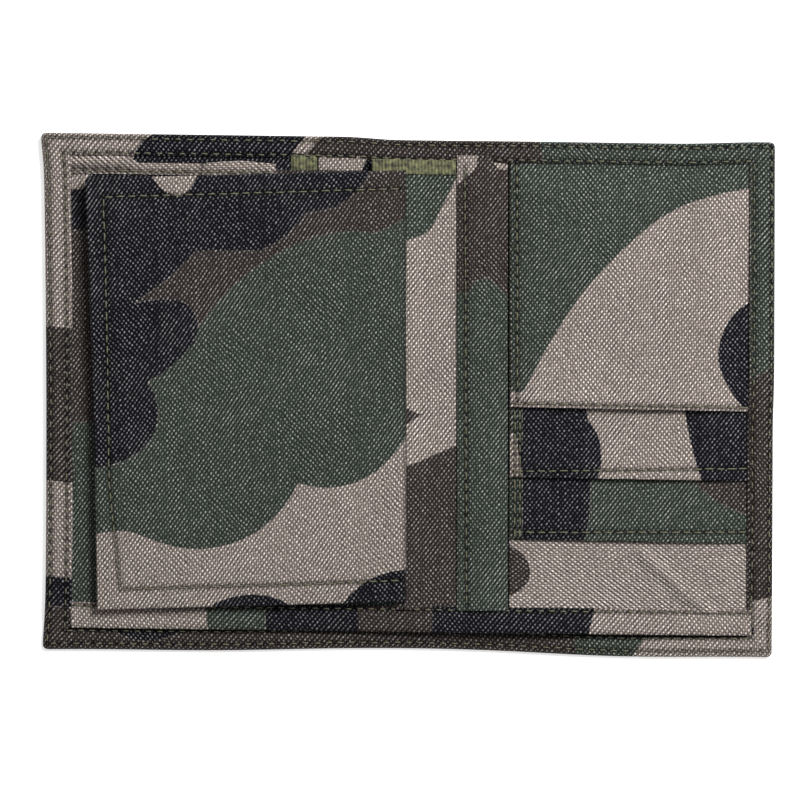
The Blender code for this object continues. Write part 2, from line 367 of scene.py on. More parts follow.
def leaf_height(x, y):
    """The stiffened leaf is nearly flat; its hinge edge rolls down and its rim is thinner."""
    roll = 1.9
    past = np.clip((x - (LEAF_HIGH[0] - roll)) / roll, 0, 1)
    rolled = roll * (1 - np.sqrt(np.clip(1 - past**2, 0, 1)))
    rim = leaf_inset(x, y)
    thin = 0.35 * (1 - smooth((rim - 1.0) / 6.5))
    hollow = -0.35 * near(x, -45, 30) * near(y, 0, 40)
    dip = seam_dip(x, y, LEAF_SEAM, depth=0.34)
    return LEAF_HIGH[2] - rolled - thin + hollow + dip + waves(x, y, 21, 0.16, 46)


def band_height(x, y):
    """Top of the turned-in edge: low along the mouth, one step higher for each ply it covers."""
    mouth = smooth((-y - INNER_TOP + 6) / 6)
    left = EDGE_LEFT + EDGE_LEFT_RISE * smooth((-x - 80) / 8)
    right = EDGE_RIGHT
    for level in MOUTHS.values():
        right = right + SEWN_PLY * smooth((y - level + 2.0) / 2.5)
    plies = left + (right - left) * smooth((x - 12) / 16)
    return plies * (1 - mouth) + DIVIDER_LEVEL * mouth


def edge_height(x, y):
    """The same with the unevenness of its cloth."""
    return band_height(x, y) + waves(x, y, 31, 0.06, 24)


# -------- seams, as cut

def leaf_point(across, up):
    """Point on the leaf: across runs from the hinge edge to the outer edge, up from low to high."""
    width_high = LEAF_HIGH[0] - LEAF_LOW[0]
    width = width_high - LEAF_LEAN * (1 - up)
    height = LEAF_HIGH[1] - LEAF_LOW[1] - LEAF_DROP
    x = LEAF_HIGH[0] - width * across
    y = LEAF_LOW[1] + LEAF_DROP + height * up - LEAF_DROP * across
    return (float(x), float(y))


def leaf_inset(x, y):
    """Distance in from the leaf's outer, upper and lower edges."""
    corners = [leaf_point(0, 0), leaf_point(1, 0), leaf_point(1, 1), leaf_point(0, 1)]
    gap, _ = along_line(x, y, corners)
    return gap


def loop_inside_edge(left, right, top, mouth):
    """Closed line at given distances in from the cover's four edges."""
    x_left, x_right = -HALF_WIDTH + left, HALF_WIDTH - right
    y_low, y_high = -HALF_HEIGHT + mouth, HALF_HEIGHT - top
    return [(x_left, y_low), (x_left, y_high), (x_right, y_high), (x_right, y_low), (x_left, y_low)]


LEAF_SEAM = [
    leaf_point(0.02, 0.050),
    leaf_point(0.300, 0.047),
    leaf_point(0.925, 0.046),
    leaf_point(0.955, 0.300),
    leaf_point(0.945, 0.955),
    leaf_point(0.02, 0.957),
]
OUTER_SEAM = loop_inside_edge(1.3, 1.0, 1.4, 1.6)
INNER_SEAM = loop_inside_edge(5.7, 5.7, 5.3, 5.1)
HEM_SEAM = [(INNER_LEFT + 0.4, HEM_HIGH - 0.9), (INNER_RIGHT - 0.4, HEM_HIGH - 0.9)]
BAND_SEAM = [(INNER_LEFT + 0.6, BAND_LOW[1] + 0.6), (BAND_HIGH[0] - 0.5, BAND_LOW[1] + 0.6)]
BAND_NOTCH = [(-56.5, BAND_LOW[1] + 0.2), (-56.0, BAND_HIGH[1] + 0.6)]
SPINE_SEAM = [(STRIP_LOW[0] + 1.9, HEM_HIGH + 0.5), (STRIP_LOW[0] + 1.4, INNER_TOP - 2)]
# The two rows at the left side of a card pocket: how far in from the pockets' left edge.
SIDE_SEAMS = (1.0, 2.4)
# The mouths aren't quite level: how far each rises above its place at its left and right ends.
MOUTH_RISE = {"rear": (0.8, 0.4), "middle": (0.7, 0.45), "front": (1.0, 0.55)}
POCKET_RIGHT = INNER_RIGHT - 0.3
POCKET_SEAMS = {
    "rear": [(POCKET_LEFT + 0.6, MOUTHS["rear"] + 2.7), (POCKET_RIGHT - 0.5, MOUTHS["rear"] + 3.5)],
    "middle": [(POCKET_LEFT + 0.6, MOUTHS["middle"] + 2.3), (POCKET_RIGHT - 0.5, MOUTHS["middle"] + 3.9)],
    "front": [(POCKET_LEFT + 0.6, MOUTHS["front"] + 2.0), (POCKET_RIGHT - 0.5, MOUTHS["front"] + 1.6)],
}


# -------- print

def print_fields(x, y, design):
    """Signed distance in millimetres into the green, brown and black parts of the print. A later
    patch lies over an earlier one."""
    far = 50.0
    fields = {name: np.full(np.shape(x), -far) for name in ("tan", "green", "brown", "black")}
    base, patches = design
    fields[base] = np.full(np.shape(x), far)
    for colour, points in patches:
        depth = inside_distance(x, y, arc_loop(points))
        for name, field in fields.items():
            fields[name] = np.maximum(field, depth) if name == colour else np.minimum(field, -depth)
    return np.stack([fields["green"], fields["brown"], fields["black"]], axis=-1)


# For each panel, the dye of its ground and the patches on it, as outlines for arc_loop().
PRINTS = {
    "leaf": ("green", [
        ("tan", [(-95, -37.8), (-84, -37.6, -0.05), (-76, -37), (-66.5, -40.4, 0.39), (-30, -23.8, 0.32),
            (-4.8, -17, 0.08), (-0.3, -10.4), (2, -5), (6, -75), (-95, -75)]),
        ("brown", [(4, 52, -0.1), (-9.5, 43.8, 0.1), (-19, 44.2, 0.12), (-41, 35, 0.1), (-56, 19.4),
            (-90, 19), (-90, 70), (4, 70)]),
        ("black", [(-9.5, 63.5, -0.36), (-27.7, 49.7, -0.18), (-40.8, 39, 0.02), (-58, 39, -0.1),
            (-76, 24.3, -0.15), (-61, 25.2, -0.45), (-58.5, 14, -0.12), (-71, 3.4, -0.42),
            (-73, -15.5, -0.12), (-85, -20), (-100, -20), (-100, 70)]),
        ("tan", [(-71, 62), (-69.5, 59, 0.2), (-62.5, 53.6, 0.25), (-57.5, 59.5), (-56, 62)]),
        ("black", [(-55, -60), (-52.8, -56.8, -0.25), (-33, -56.5), (-30, -60)]),
        ("black", [(-19, -60), (-17.6, -56.5, -0.27), (2, -47.6), (4, -60)]),
    ]),
    "left_pocket": ("brown", [
        ("black", [(-96, 64), (-96, 44, -0.2), (-70, 40, -0.3), (-45, 50, -0.3), (-30, 64)]),
        ("tan", [(-95, 56.4), (-88.6, 55.8, 0.1), (-86.5, 62), (-95, 62)]),
        ("green", [(-96, -6.8, 0.2), (-72, -2, 0.3), (-50, -20, 0.2), (-20, -10, 0.3), (2, -30), (2, -62),
            (-96, -62)]),
        ("tan", [(-58, 2, 0.25), (-34, 6, -0.2), (-18, -2, 0.5), (-12, 24, 0.15), (-34, 40, 0.45),
            (-44, 22, -0.15)]),
    ]),
    "left_band": ("tan", [
        ("brown", [(-30, 58), (-36.5, 63), (-30, 66)]),
    ]),
    "divider": ("black", [
        ("tan", [(-100, 70), (-100, -70), (-80, -70), (-77, 60, 0.05), (-74.5, 66), (-74, 70)]),
        ("brown", [(20, 72), (24, 50), (100, 50), (100, 72)]),
    ]),
    "hem": ("tan", [
        ("green", [(-54.5, -54, 0.1), (-53.5, -70), (-30, -70), (-34, -54)]),
        ("black", [(-38, -54, 0.15), (-37.5, -70), (-10, -70), (-13, -54)]),
        ("brown", [(-13.5, -54, 0.1), (-12, -70), (8, -70), (6, -54)]),
        ("black", [(6, -54, -0.1), (5.5, -70), (47, -70), (49.2, -64.5), (51.5, -54)]),
    ]),
    "binding": ("brown", [
        ("tan", [(-104, 19), (-90, 18), (-90, 60), (-76, 60), (-74.6, 65.7, -0.1), (-71.8, 69.7),
            (-66, 73.5), (-104, 74)]),
        ("black", [(-66, 73.5), (-71.8, 69.7, 0.1), (-74.6, 65.7), (-76, 60), (-31, 60), (-29.5, 66.5),
            (-25, 74)]),
        ("tan", [(-25.5, 74), (-31.5, 66), (-28, 65.5), (-24, 70), (-21, 71), (-20, 74)]),
        ("tan", [(-104, -22.7), (-90, -24), (-90, -50), (-104, -49)]),
        ("black", [(-104, -49), (-90, -50, 0.1), (-90, -58), (-104, -57)]),
        ("black", [(-81.5, -63.5, 0.33), (-61.5, -64), (-61.5, -61), (-81.5, -61)]),
        ("green", [(37, 60), (35, 74), (104, 74), (104, 9, 0.05), (93, 4), (93, 60)]),
        ("green", [(45, -63, 0.1), (47, -74), (59, -74), (66, -64)]),
        ("tan", [(66, -64), (59, -74), (104, -74), (104, -53.5), (93, -56.5), (93, -64)]),
    ]),
    "tab": ("tan", []),
    "flange": ("tan", [
        ("green", [(-8, 41.8), (-1, 42, 0.15), (6.2, 45.3), (13, 59), (13, 70), (-8, 70)]),
        ("brown", [(-6, -4), (-0.2, -3.8, 0.1), (4.4, -5.4, 0.1), (-0.2, -8), (-6, -8)]),
        ("brown", [(-8, -20), (0, -19.2, 0.05), (6, -16.7), (15, -13), (16, -66), (-8, -66)]),
    ]),
    "strip": ("green", [
        ("brown", [(10, 27), (16.5, 28.2, -0.05), (18, 31), (21.5, 31.8, -0.12), (28.5, 25), (40, 60),
            (30, 68), (10, 68)]),
        ("tan", [(10, 50), (12.4, 56.6), (15.1, 58.6), (18.6, 62), (19, 70), (10, 70)]),
        ("tan", [(23.4, 62.8), (24.5, 61.4), (27.9, 61.2), (28, 70), (23.4, 70)]),
    ]),
    "pocket_front": ("tan", [
        ("green", [(24, 1.2), (31.3, 0.8, -0.04), (46, 26, -0.06), (66.5, 46.6, -0.09), (80, 53.3, -0.03),
            (95, 56.5), (95, 72), (24, 72)]),
        ("black", [(91, -3.4, -0.12), (84.4, 8, -0.18), (86.3, 18.5, -0.2), (93.5, 25.4), (100, 26),
            (100, -3)]),
    ]),
    "pocket_middle": ("tan", [
        ("black", [(31, 4), (31, -4), (29.6, -14), (31.6, -25), (50, -25, 0.2), (52.3, -15.5, 0.2),
            (48.8, -7, -0.2), (50.5, 4)]),
        ("green", [(24, 4), (24, -9.5), (28.6, -10.5), (31, -14), (31, 4)]),
        ("black", [(75, 4), (75.2, -5, 0.05), (79.8, -23.5), (80, -26), (97, -26), (97, 4)]),
    ]),
    "pocket_rear": ("green", [
        ("black", [(31, -20), (31, -43), (46.5, -43, 0.1), (49.4, -30, 0.05), (49, -20)]),
        ("brown", [(74, -20), (77.3, -23, 0.08), (84.5, -29.3, 0.08), (95, -33.3), (97, -20)]),
    ]),
    "backing": ("tan", [
        ("brown", [(24, -38), (28.3, -41.7, -0.3), (33.2, -48, -0.3), (28.8, -54.2), (24, -56)]),
    ]),
    "outside": ("green", [
        ("tan", [(-104, 20, 0.2), (-80, 34, 0.3), (-52, 26, 0.35), (-30, 44, 0.25), (-36, 76), (-104, 76)]),
        ("brown", [(-104, -14, 0.1), (-86, 4, 0.3), (-60, -6, 0.3), (-42, -26, 0.3), (-50, -52, 0.3),
            (-74, -60, 0.2), (-80, -76), (-104, -76)]),
        ("black", [(-70, 6, -0.1), (-46, 18, -0.5), (-30, 2, -0.35), (-8, 6, -0.5), (-2, -18, -0.3),
            (-20, -30, -0.4), (-38, -16, -0.2), (-58, -14, -0.4)]),
        ("tan", [(-22, -76), (-30, -56, -0.3), (-6, -44, -0.35), (12, -50, -0.3), (20, -76)]),
        ("brown", [(-16, 76), (-14, 50, 0.3), (10, 36, 0.3), (34, 46, 0.25), (44, 76)]),
        ("tan", [(24, 22, -0.3), (44, 32, -0.4), (62, 20, -0.35), (84, 24, -0.45), (92, 2, -0.2),
            (76, -12, -0.3), (50, -6, -0.3), (30, 0, -0.3)]),
        ("black", [(70, 76), (64, 52, 0.35), (82, 38, 0.25), (104, 40), (104, 76)]),
        ("brown", [(34, -24, 0.1), (60, -20, -0.35), (80, -32, -0.3), (104, -26), (104, -76),
            (60, -76, 0.1), (52, -52, -0.3), (34, -44, 0.2)]),
        ("black", [(66, -46, -0.4), (86, -44, -0.4), (88, -62, -0.4), (68, -64, -0.4)]),
    ]),
    "frame": ("brown", [
        ("green", [(-92, 10, 0.2), (-78, 14, 0.2), (-70, 64), (-92, 64)]),
        ("tan", [(-50, -62), (-46, -50, 0.3), (-20, -46, 0.2), (-14, -30, 0.1), (4, -26), (4, -62)]),
        ("black", [(-40, 64), (-36, 54, 0.2), (-16, 50, 0.3), (-10, 30, 0.2), (4, 26), (4, 64)]),
    ]),
}


# -------- materials

class Value:
    """A number, place or colour that varies over a surface, worked out by its material's nodes."""

    def __init__(self, socket):
        self.socket = socket

    def node(self, kind, inputs, **settings):
        return add_node(self.socket.id_data, kind, inputs, **settings)

    def math(self, operation, second=0.0, third=0.0):
        return self.node("Math", {0: self, 1: second, 2: third}, operation=operation)

    def __add__(self, other):
        return self.math("ADD", other)

    def __mul__(self, other):
        return self.math("MULTIPLY", other)

    def __truediv__(self, other):
        return self.math("DIVIDE", other)

    def times_plus(self, factor, more):
        return self.math("MULTIPLY_ADD", factor, more)

    def wave(self, operation):
        """Sine or cosine that is zero, or one, at each whole number."""
        return (self * math.pi).math(operation)

    def parts(self):
        first = self.node("SeparateXYZ", {0: self})
        return [Value(socket) for socket in first.socket.node.outputs]

    def scaled(self, factors):
        return self.node("VectorMath", {0: self, 1: factors}, operation="MULTIPLY")

    def noise(self, scale, detail=2.0):
        return self.node("TexNoise", {"Vector": self, "Scale": scale, "Detail": detail})

    def step(self, low, high):
        """From 0 to 1, smoothly, between two levels."""
        return self.node("MapRange", {0: self, 1: low, 2: high}, interpolation_type="SMOOTHSTEP")

    def between(self, first, second):
        """Mix of two colours by this share of the second."""
        return self.mix("MIX", self, first, second)

    def with_colour(self, kind, other):
        """This colour multiplied by another, or added to it."""
        return self.mix(kind, 1.0, self, other)

    def mix(self, kind, share, first, second):
        inputs = {0: share, 6: first, 7: second}
        mixed = self.node("Mix", inputs, data_type="RGBA", blend_type=kind)
        return Value(mixed.socket.node.outputs[2])

    def as_colour(self):
        return self.node("CombineColor", {0: self, 1: self, 2: self})


def feed(socket, value):
    """Link a varying value to a node's input, or set a plain number, vector or colour there."""
    if isinstance(value, Value):
        socket.id_data.links.new(value.socket, socket)
    elif socket.type == "RGBA":
        socket.default_value = (*value, 1.0)
    else:
        socket.default_value = value


def add_node(tree, kind, inputs, **settings):
    """The first output of a new node. inputs gives its sockets' values by number or by name."""
    node = tree.nodes.new("ShaderNode" + kind)
    for name, setting in settings.items():
        setattr(node, name, setting)
    for socket, value in inputs.items():
        feed(node.inputs[socket], value)
    return Value(node.outputs[0])


def attribute(shader, name):
    node = add_node(shader.id_data, "Attribute", {}, attribute_name=name).socket.node
    return Value(node.outputs["Vector"])


def bump(shader, height, depth):
    """Depth is in millimetres for a height that runs from 0 to 1."""
    inputs = {"Distance": depth * MM, "Height": height}
    feed(shader.inputs["Normal"], add_node(shader.id_data, "Bump", inputs))


def new_material(name, **plain):
    """Material and its shader, with plain values for the shader's inputs, _ standing for a space."""
    material = bpy.data.materials.new(name)
    material.use_nodes = True
    shader = material.node_tree.nodes["Principled BSDF"]
    for title, value in plain.items():
        feed(shader.inputs[title.replace("_", " ")], value)
    return material, shader


def yarn_counts(place):
    """How many warp and weft yarns from the origin a place is; the yarns wander a little."""
    across, along, _ = place.parts()
    drift = place.noise(0.35, 3.0).times_plus(0.9, -0.45)
    return (across + drift) / WARP_PITCH, (along + drift) / WEFT_PITCH


def yarn_random(warp, weft):
    """A value from 0 to 1 for each crossing, partly shared along the whole warp yarn."""
    warp_number, weft_number = warp.math("FLOOR"), weft.math("FLOOR")
    cell = warp.node("CombineXYZ", {0: warp_number, 1: weft_number})
    crossing = warp.node("TexWhiteNoise", {"Vector": cell}, noise_dimensions="2D")
    yarn = warp.node("TexWhiteNoise", {"W": warp_number}, noise_dimensions="1D")
    return crossing.times_plus(0.65, yarn * 0.35)


def printed_colour(shader, place):
    """The four dyes. Their borders wander by about half a yarn, as ink does on a coarse weave."""
    depths = attribute(shader, "print").parts()
    bleed = place.noise(0.9, 3.0).times_plus(0.7, -0.35)
    colour = TAN
    for depth, dye in zip(depths, (GREEN, BROWN, BLACK)):
        colour = (depth + bleed).step(-0.14, 0.14).between(colour, dye)
    return colour


# Each cloth, tape and thread is a finish: its material, and a name for its slot.

def camouflage_cloth():
    """Printed polyester in a plain weave. Its light and shade are painted into its colour: the weft floats
    are painted lighter, with a painted glint that leans with the yarn's twist; the gaps between yarns are
    painted dark; and painted shade darkens the grooves that stitches pull into it."""
    material, shader = new_material("camouflage_cloth", Roughness=0.8, Specular_IOR_Level=0.05,
                                    Sheen_Weight=0.04, Sheen_Roughness=0.5)
    place = attribute(shader, "weave")
    warp, weft = yarn_counts(place)
    # Painted light and shade of the weave: floats painted lighter where they catch the light, leaning with
    # the twist, and the gaps between yarns painted darker. It multiplies the print.
    warp_sine, weft_sine = warp.wave("SINE"), weft.wave("SINE")
    crossing = warp_sine * weft_sine
    twist = warp.wave("COSINE") * weft.wave("COSINE")
    twist_share = place.noise(0.05, 1.0).times_plus(1.9, -0.70)
    floats = twist.times_plus(twist_share, crossing)
    floats = floats * yarn_random(warp, weft).times_plus(1.3, 0.4)

    warp_crown, weft_crown = warp_sine.math("ABSOLUTE"), weft_sine.math("ABSOLUTE")
    gaps = warp_crown.times_plus(0.95, weft_crown * 0.60)
    shade = floats.times_plus(0.85, gaps).math("MAXIMUM", 0.04)
    fade = place.noise(0.035, 4.0).times_plus(0.30, 0.85)
    # The weave's third place holds painted shade: in the grooves of the stitches and on the leaf's rolled
    # hinge edge. It darkens the colour and dims the painted glint.
    pull = place.parts()[2]
    painted_shade_factor = pull.times_plus(-0.92, 1.0)
    shade = shade * (fade * painted_shade_factor)
    colour = printed_colour(shader, place).with_colour("MULTIPLY", shade.as_colour())
    # Painted highlight on the floats, added to the base colour.
    glint = floats.math("MAXIMUM", 0.0).math("POWER", 1.8) * painted_shade_factor
    shine = glint.as_colour().with_colour("MULTIPLY", YARN_GLINT)
    feed(shader.inputs["Base Color"], colour.with_colour("ADD", shine))
    crown = warp_crown * weft_crown
    feed(shader.inputs["Roughness"], crown.times_plus(-0.15, 0.88))
    bump(shader, crown, 0.12)
    return material, "camouflage_cloth"


def sewing_thread():
    """Two-ply thread: the plies show as slanting ridges, as a bump and as painted light and shade, lighter
    on their crests.
    """
    material, shader = new_material("sewing_thread", Roughness=0.6, Sheen_Weight=0.15)
    place = attribute(shader, "weave")
    along, around, _ = place.parts()
    turn = along * 9.0 + around
    ply = turn.math("SINE").times_plus(0.5, 0.5)
    fuzz = place.noise(3.0)
    shade = ply.times_plus(0.5, fuzz * 0.6)
    # Painted light and shade of the plies: a darker and a lighter copy of the thread's colour.
    dark = [0.45 * part for part in THREAD_COLOUR]
    light = [1.35 * part for part in THREAD_COLOUR]
    feed(shader.inputs["Base Color"], shade.between(dark, light))
    bump(shader, ply, 0.05)
    return material, "thread"


def olive_tape():
    """Olive tape: fine cross ribs, mottled with wear; the ribs also carry painted light and shade, lighter
    on their crests.
    """
    material, shader = new_material("olive_tape", Roughness=0.8, Sheen_Weight=0.1)
    place = attribute(shader, "weave")
    rib = (place.parts()[0] * (2 * math.pi / TAPE_RIB_PITCH)).math("SINE").times_plus(0.5, 0.5)
    speck = place.noise(0.8, 4.0)
    # Painted light and shade of the ribs, mixed with the tape's own mottle.
    shade = rib.times_plus(0.25, speck.times_plus(2.6, -1.05))
    feed(shader.inputs["Base Color"], shade.between(TAPE_DARK, TAPE_LIGHT))
    bump(shader, rib, 0.12)
    return material, "binding_tape"


def clear_vinyl():
    """Soft clear window: thin, glossy, faintly hazed and scuffed."""
    material, shader = new_material("clear_vinyl", Base_Color=(0.86, 0.9, 0.9), Alpha=0.22, IOR=1.53,
                                    Roughness=0.1)
    place = attribute(shader, "weave")
    haze = place.noise(0.06, 3.0)
    scuff = place.scaled((0.15, 2.5, 1.0)).noise(0.9, 4.0).step(0.6, 0.75)
    feed(shader.inputs["Roughness"], haze.times_plus(0.10, scuff.times_plus(0.2, 0.04)))
    bump(shader, haze, 0.6)
    return material, "clear_window"


def pale_floor():
    """Matt white, slightly lit from within as on a light table, so that shadows stay faint."""
    material, _ = new_material("pale_floor", Roughness=0.9, Base_Color=(0.8, 0.8, 0.8),
                               Emission_Color=(1, 1, 1), Emission_Strength=0.55)
    return material


# -------- meshes

def add_mesh(name, points, faces, weave, fields=None):
    """Object from points in millimetres, with the cloth coordinates its material reads."""
    mesh = bpy.data.meshes.new(name)
    mesh.from_pydata((np.asarray(points) * MM).tolist(), [], faces)
    layer = mesh.attributes.new("weave", "FLOAT_VECTOR", "POINT")
    layer.data.foreach_set("vector", np.asarray(weave, np.float32).ravel())
    if fields is not None:
        layer = mesh.attributes.new("print", "FLOAT_VECTOR", "POINT")
        layer.data.foreach_set("vector", np.asarray(fields, np.float32).ravel())
    mesh.polygons.foreach_set("use_smooth", np.ones(len(mesh.polygons), bool))
    mesh.update()
    piece = bpy.data.objects.new(name, mesh)
    bpy.context.scene.collection.objects.link(piece)
    return piece


def grid_lines(length, step, rim, seams):
    """Places from 0 to 1 across a piece, close together at its round rim and along its seams.
    seams lists the stretches, from and to, that rows of stitches take up."""
    beside, fine, gap, end_gap = 0.75, 0.3, 0.2, 0.15
    count = max(3, int(round((length - 2 * rim) / step)) + 1)
    lines = np.linspace(rim, length - rim, count)
    for low, high in seams:
        dense = np.arange(low - beside, high + beside + 0.01, fine)
        dense = dense[(dense > rim + gap) & (dense < length - rim - gap)]
        if len(dense):
            lines = lines[(lines < dense[0] - gap) | (lines > dense[-1] + gap)]
            lines = np.sort(np.concatenate([lines, dense]))
    lines = lines[(lines > rim + end_gap) & (lines < length - rim - end_gap)]
    round_rim = rim * np.array([0.0, 0.07, 0.3, 0.65, 1.0])
    return np.concatenate([round_rim, lines, length - round_rim[::-1]]) / length


def seam_stretches(seams, axis, start):
    """Where rows of stitches that run across this axis lie on it."""
    stretches = []
    for line in seams:
        for first, second in zip(line[:-1], line[1:]):
            run = (abs(second[0] - first[0]), abs(second[1] - first[1]))
            if run[axis] < run[1 - axis]:
                stretches.append(sorted((first[axis] - start, second[axis] - start)))
    return stretches


def tube_faces(index):
    """Quads round a tube. index holds its points' numbers, one row for each ring, and the ends of
    the tube stay open."""
    after = np.roll(index, -1, axis=1)
    return np.stack([index[:-1], after[:-1], after[1:], index[1:]], axis=-1).reshape(-1, 4).tolist()


def end_caps(index):
    """The two faces that close such a tube."""
    return [index[0][::-1].tolist(), index[-1].tolist()]


def grid_faces(top, bottom):
    """Quads of a two-sided grid whose upper and lower sheets share their border points."""
    faces = []
    for sheet, order in ((top, 1), (bottom, -1)):
        corners = [sheet[:-1, :-1], sheet[1:, :-1], sheet[1:, 1:], sheet[:-1, 1:]][::order]
        faces.append(np.stack([corner.ravel() for corner in corners], axis=1))
    return np.concatenate(faces).tolist()


def round_corners(x, y, width, height, radius):
    """Pull the square corners of a centred rectangle onto arcs."""
    over_x = np.abs(x) - (width - radius)
    over_y = np.abs(y) - (height - radius)
    corner = (over_x > 0) & (over_y > 0)
    reach = np.hypot(over_x, over_y)
    scale = np.where(corner, np.maximum(over_x, over_y) / np.maximum(reach, 1e-9), 1.0)
    new_x = np.sign(x) * (width - radius + over_x * scale)
    new_y = np.sign(y) * (height - radius + over_y * scale)
    return np.where(corner, new_x, x), np.where(corner, new_y, y)


def cloth(name, corners, height, design, lie=lie_as_panel, thickness=CLOTH_THICKNESS, step=STEP,
          skew=PANEL_SKEW, turned=False, corner_radius=0.0, seams=(), outside=False, worn=None,
          woven_as_lain=False):
    """Closed sheet of cloth over a four-cornered outline, given anticlockwise from low left. Its columns
    lie close together where the cover folds. outside is for cloth that runs round that fold, turned for
    cloth cut across the grain, woven_as_lain for cloth whose lie is a shape and not a stretch. The function
    for painted shade, if given, says how much painted shade falls on the cloth, from 0 to 1."""
    corners = np.array(corners, float)
    width = np.linalg.norm(corners[1] - corners[0])
    length = np.linalg.norm(corners[3] - corners[0])
    rim = thickness / 2
    fold = [(-FOLD_REACH - corners[0][0], FOLD_REACH - corners[0][0])]
    across = grid_lines(width, step, rim, fold + seam_stretches(seams, 0, corners[0][0]))
    up = grid_lines(length, step, rim, seam_stretches(seams, 1, corners[0][1]))
    u, v = np.meshgrid(across, up, indexing="ij")
    shares = np.stack([(1 - u) * (1 - v), u * (1 - v), u * v, (1 - u) * v], axis=-1)
    flat = shares @ corners
    x, y = flat[..., 0], flat[..., 1]
    edge = np.minimum(np.minimum(u, 1 - u) * width, np.minimum(v, 1 - v) * length)
    inward = np.clip(edge / rim, 0, 1)
    half = rim * np.sqrt(np.clip(1 - (1 - inward) ** 2, 0, 1))
    middle = height(x, y) - rim
    if corner_radius:
        x, y = round_corners(x, y, width / 2, length / 2, corner_radius)
    lain_x, lain_y = lie(x, y)
    columns, rows = x.shape
    top = np.arange(columns * rows).reshape(columns, rows)
    inner = np.zeros((columns, rows), bool)
    inner[1:-1, 1:-1] = True
    bottom = top.copy()
    bottom[inner] = columns * rows + np.arange(inner.sum())
    upper = np.stack([lain_x, lain_y, middle + half], axis=-1).reshape(-1, 3)
    lower = np.stack([lain_x, lain_y, middle - half], axis=-1)[inner]
    points = np.concatenate([upper, lower])
    # Painted shade from 0 to 1: what the given function paints, and the shade in the groove of each row of
    # stitches.
    pull = worn(x, y) if worn else np.zeros_like(x)
    for line in seams:
        pull = np.maximum(pull, seam_shade(x, y, line))
    if woven_as_lain:
        x, y = lain_x, lain_y
    if outside:
        x = along_fold(x)
    place = yarn_place(x, y, skew, turned, pull)
    place = np.concatenate([place.reshape(-1, 3), place[inner]])
    fields = print_fields(points[:, 0], points[:, 1], design) if design else None
    return add_mesh(name, points, grid_faces(top, bottom), place, fields)


def along_fold(x):
    """How far across the outside of the cover a place is once the cover is folded over."""
    return x + math.pi * FOLD_AXIS_HEIGHT * (smooth((x + FOLD_REACH) / (2 * FOLD_REACH)) - 0.5)


def yarn_place(x, y, skew, turned, pull):
    """Millimetres across the warp and across the weft, and the painted shade of seams and edges."""
    rise, lean = skew
    if turned:
        x, y = y, -x
    return np.stack([x + lean * y, y - rise * x, pull], axis=-1)


def rectangle(left, low, right, high):
    return [(left, low), (right, low), (right, high), (left, high)]


# Section of the turned-in edge, from under its outer edge over the top to its inner edge and back
# underneath: how far in, as a share of its width; how high, as a share of its top; and how many
# millimetres are added to that.
BAND_SECTION = [
    (0.085, 0.0, 0.06), (0.03, 0.1, 0.0), (0.0, 0.35, 0.0), (0.0, 0.62, 0.0), (0.03, 0.84, 0.0),
    (0.08, 0.95, 0.0), (0.13, 0.99, 0.0), (0.17, 0.98, 0.0), (0.21, 0.97, 0.0), (0.26, 1.0, 0.0),
    (0.33, 1.03, 0.0), (0.42, 1.04, 0.0), (0.52, 1.04, 0.0), (0.62, 1.03, 0.0), (0.70, 1.01, 0.0),
    (0.76, 1.0, 0.0), (0.82, 0.99, 0.0), (0.88, 1.0, 0.0), (0.94, 1.0, -0.01), (0.985, 1.0, -0.08),
    (1.0, 1.0, -0.22), (0.985, 1.0, -0.38), (0.93, 1.0, -0.44), (0.7, 1.0, -0.46),
    (0.4, 1.0, -0.46), (0.2, 0.8, -0.3), (0.13, 0.45, 0.0), (0.12, 0.25, 0.0),
]
# What counts as its top and as its outer side, and how far the cloth runs down that side.
TOP_LEVEL = 0.7
OUTER_SHARE = 0.2
EDGE_DEPTH = 2.2


def around_cover(step):
    """Steps round the cover: the corner before, the corner after, and the share between them."""
    corners = [(-1, -1), (1, -1), (1, 1), (-1, 1)]
    for before, after in zip(corners, corners[1:] + corners[:1]):
        length = 2 * (HALF_WIDTH if before[0] != after[0] else HALF_HEIGHT)
        count = int(length / step)
        for number in range(count):
            yield before, after, number / count


